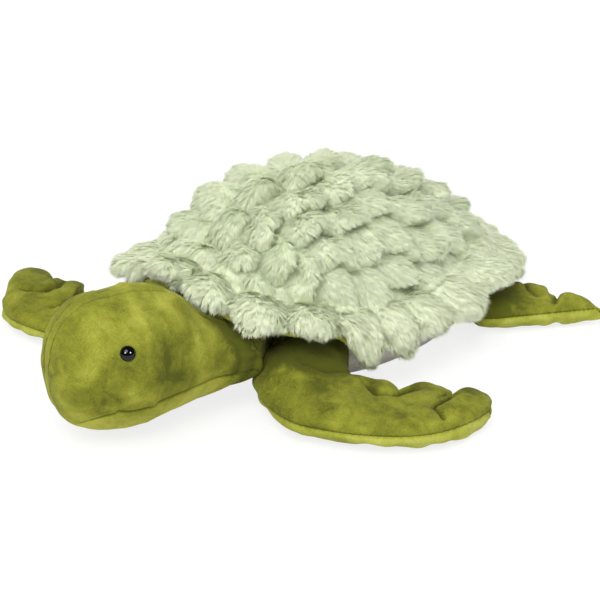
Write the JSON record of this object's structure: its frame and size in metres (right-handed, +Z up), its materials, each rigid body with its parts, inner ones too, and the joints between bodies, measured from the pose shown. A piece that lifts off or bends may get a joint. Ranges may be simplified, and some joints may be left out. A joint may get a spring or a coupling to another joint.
{
  "type": "plush turtle",
  "caption": "Stuffed sea turtle lying on its belly: velour head and scalloped flippers, a domed long-pile shell quilted in tiles with a loose brim, pale belly and glossy eyes.",
  "frame": {"origin": "on the floor, at the middle of the flat underside of the belly", "axes": "+Z up; the body's front, where the neck is, faces -Y; +X is the turtle's left side"},
  "size_m": [0.4759, 0.5141, 0.1588],
  "materials": {
    "velour": "matte",
    "long_pile_fur": "matte",
    "belly_plush": "matte",
    "stuffing": "matte",
    "eye": "gloss",
    "washer": "satin"
  },
  "bodies": {
    "body": {"belly_panel": "belly_plush", "body_side_band": "velour", "body_filling": "stuffing", "shell_cover": "long_pile_fur", "rim_lining": "velour", "tail_skin": "velour", "tail_filling": "stuffing"},
    "neck": {"neck_skin": "velour", "neck_filling": "stuffing"},
    "head": {"head_side_left": "velour", "head_side_right": "velour", "head_gusset": "velour", "head_filling": "stuffing", "eye_left": "eye", "eye_right": "eye", "eye_washer_left": "washer", "eye_washer_right": "washer"},
    "flipper_front_left": {"flipper_front_left_upper": "velour", "flipper_front_left_lower": "velour", "flipper_front_left_filling": "stuffing"},
    "flipper_front_right": {"flipper_front_right_upper": "velour", "flipper_front_right_lower": "velour", "flipper_front_right_filling": "stuffing"},
    "flipper_rear_left": {"flipper_rear_left_upper": "velour", "flipper_rear_left_lower": "velour", "flipper_rear_left_filling": "stuffing"},
    "flipper_rear_right": {"flipper_rear_right_upper": "velour", "flipper_rear_right_lower": "velour", "flipper_rear_right_filling": "stuffing"}
  },
  "joints": [
    {"name": "neck_turn", "type": "hinge", "parent": "body", "child": "neck", "pos_m": [0.04, -0.138, 0.046], "axis": [0, 0, 1], "range_deg": [-14, 1.5]},
    {"name": "head_nod", "type": "hinge", "parent": "neck", "child": "head", "pos_m": [0.06509, -0.17039, 0.046], "axis": [-0.9563, 0.2924, 0], "range_deg": [-12, 6]},
    {"name": "flipper_front_left_flap", "type": "hinge", "parent": "body", "child": "flipper_front_left", "pos_m": [0.092, -0.104, 0.03], "axis": [-0.6691, -0.7431, 0], "range_deg": [-20, 4]},
    {"name": "flipper_front_right_flap", "type": "hinge", "parent": "body", "child": "flipper_front_right", "pos_m": [-0.095, -0.119, 0.03], "axis": [-0.9994, 0.0349, 0], "range_deg": [-20, 8]},
    {"name": "flipper_rear_left_flap", "type": "hinge", "parent": "body", "child": "flipper_rear_left", "pos_m": [0.084, 0.1, 0.019], "axis": [0.6428, -0.766, 0], "range_deg": [-20, 8]},
    {"name": "flipper_rear_right_flap", "type": "hinge", "parent": "body", "child": "flipper_rear_right", "pos_m": [-0.084, 0.1, 0.019], "axis": [0.6428, 0.766, 0], "range_deg": [-20, 8]}
  ]
}
